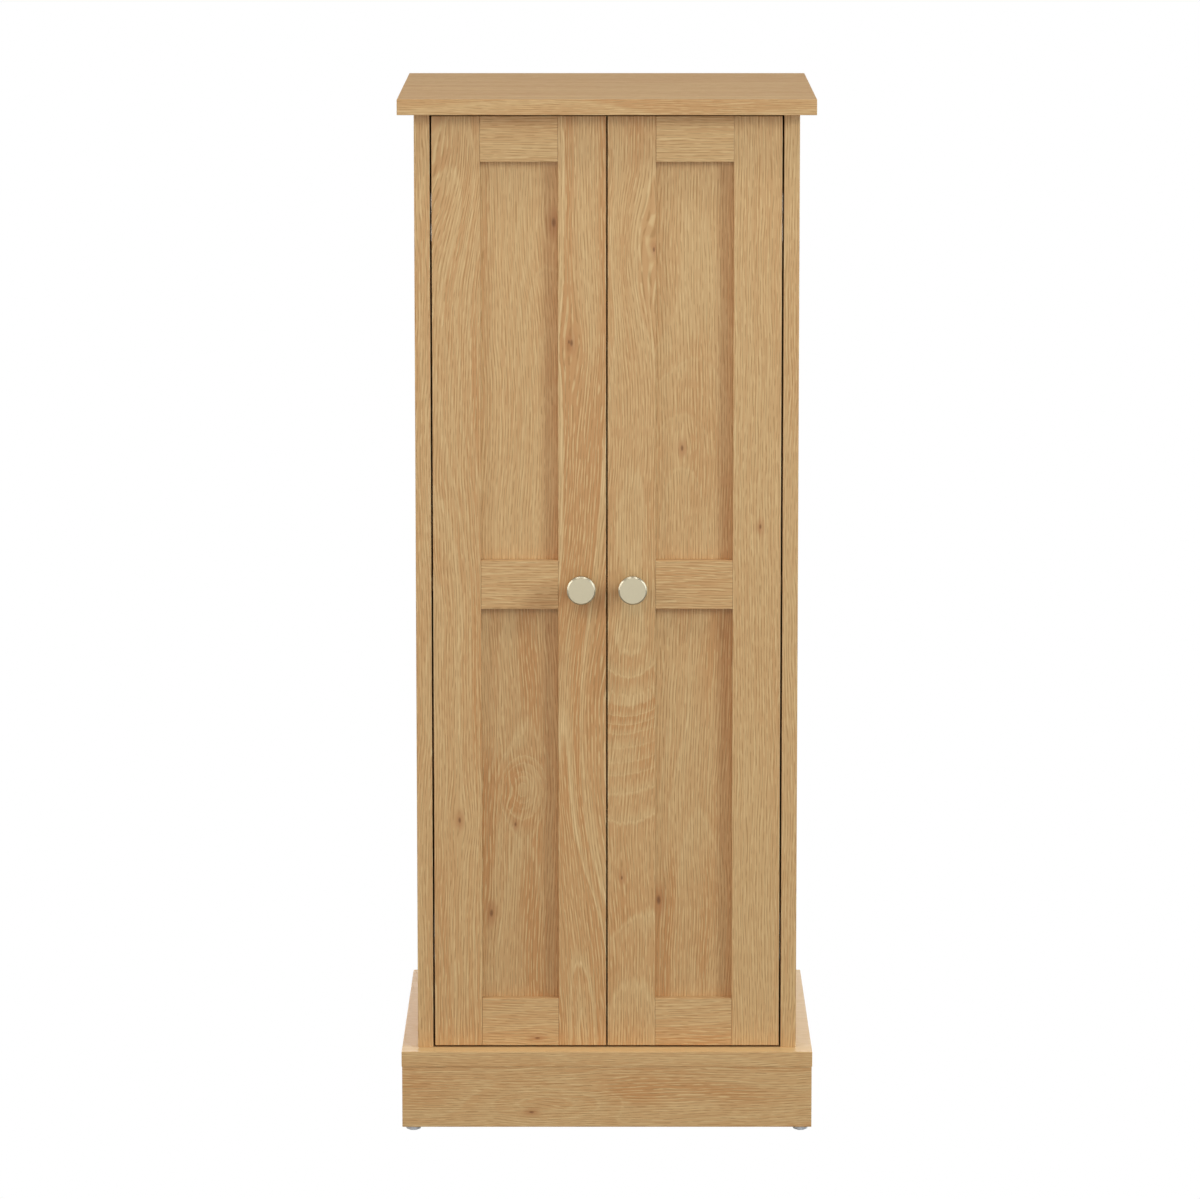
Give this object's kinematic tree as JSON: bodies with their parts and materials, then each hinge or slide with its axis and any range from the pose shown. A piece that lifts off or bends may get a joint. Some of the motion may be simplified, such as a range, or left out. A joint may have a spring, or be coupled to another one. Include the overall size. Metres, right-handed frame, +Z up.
{
  "type": "bathroom cabinet",
  "caption": "Tall narrow free-standing cabinet in oak-effect board with inset shaker doors on concealed hinges, round knobs, shelves inside and a projecting base on a plinth.",
  "frame": {"origin": "on the floor, under the middle of the whole object with its knobs", "axes": "+Z up, the doors face -Y, +X to the right as seen from the front"},
  "size_m": [0.4, 0.389, 1.006],
  "materials": {
    "oak_board": "satin oak-effect laminate on board",
    "oak_frame": "satin oak-effect wrapped frame",
    "oak_panel": "satin oak-effect panel",
    "back_board": "printed hardboard",
    "pine": "bare softwood",
    "satin_brass": "brushed, pale satin",
    "nickel_steel": "bright nickel plate",
    "zinc_steel": "bright zinc plate",
    "zinc_cast": "cast zinc",
    "white_plastic": "moulded white",
    "clear_soft_plastic": "soft, milky"
  },
  "bodies": {
    "cabinet": {"top_board": "oak_board", "base_board": "oak_board", "side_left": "oak_board", "side_right": "oak_board", "back_panel": "back_board", "fixed_shelf": "oak_board", "lower_shelf": "oak_board", "upper_shelf": "oak_board", "shelf_pins": "zinc_steel", "plinth_front": "oak_board", "plinth_back": "oak_board", "plinth_left": "oak_board", "plinth_right": "oak_board", "corner_blocks": "pine", "block_screws": "zinc_steel", "glides": "white_plastic", "cam_bolts": "zinc_steel", "cam_locks": "zinc_cast", "dowels": "pine", "hinge_plates": "nickel_steel", "hinge_arms": "nickel_steel", "hinge_pins": "nickel_steel", "hinge_screws": "zinc_steel", "wall_angle": "zinc_steel", "wall_angle_screws": "zinc_steel"},
    "door_left": {"outer_stile_left": "oak_frame", "inner_stile_left": "oak_frame", "top_rail_left": "oak_frame", "middle_rail_left": "oak_frame", "bottom_rail_left": "oak_frame", "upper_panel_left": "oak_panel", "lower_panel_left": "oak_panel", "knob_left": "satin_brass", "knob_screw_left": "zinc_steel", "hinge_cups_left": "nickel_steel", "cup_screws_left": "zinc_steel", "bumper_left": "clear_soft_plastic"},
    "door_right": {"outer_stile_right": "oak_frame", "inner_stile_right": "oak_frame", "top_rail_right": "oak_frame", "middle_rail_right": "oak_frame", "bottom_rail_right": "oak_frame", "upper_panel_right": "oak_panel", "lower_panel_right": "oak_panel", "knob_right": "satin_brass", "knob_screw_right": "zinc_steel", "hinge_cups_right": "nickel_steel", "cup_screws_right": "zinc_steel", "bumper_right": "clear_soft_plastic"},
    "hinge_links_left": {"hinge_links_left": "nickel_steel"},
    "hinge_links_right": {"hinge_links_right": "nickel_steel"}
  },
  "joints": [
    {"name": "door_left_swing", "type": "hinge", "parent": "cabinet", "child": "door_left", "pos_m": [-0.16862, -0.1645, 0.5345], "axis": [0, 0, -1], "range_deg": [0, 105]},
    {"name": "door_right_swing", "type": "hinge", "parent": "cabinet", "child": "door_right", "pos_m": [0.16862, -0.1645, 0.5345], "axis": [0, 0, 1], "range_deg": [0, 105]},
    {"name": "hinge_links_left_turn", "type": "hinge", "parent": "cabinet", "child": "hinge_links_left", "pos_m": [-0.1661, -0.1432, 0.5345], "axis": [0, 0, -1], "range_deg": [0, 61.5]},
    {"name": "hinge_links_right_turn", "type": "hinge", "parent": "cabinet", "child": "hinge_links_right", "pos_m": [0.1661, -0.1432, 0.5345], "axis": [0, 0, 1], "range_deg": [0, 61.5]}
  ],
  "couplings": [
    {"joint": "hinge_links_left_turn", "follows": "door_left_swing", "ratio": 0.583},
    {"joint": "hinge_links_right_turn", "follows": "door_right_swing", "ratio": 0.583}
  ]
}
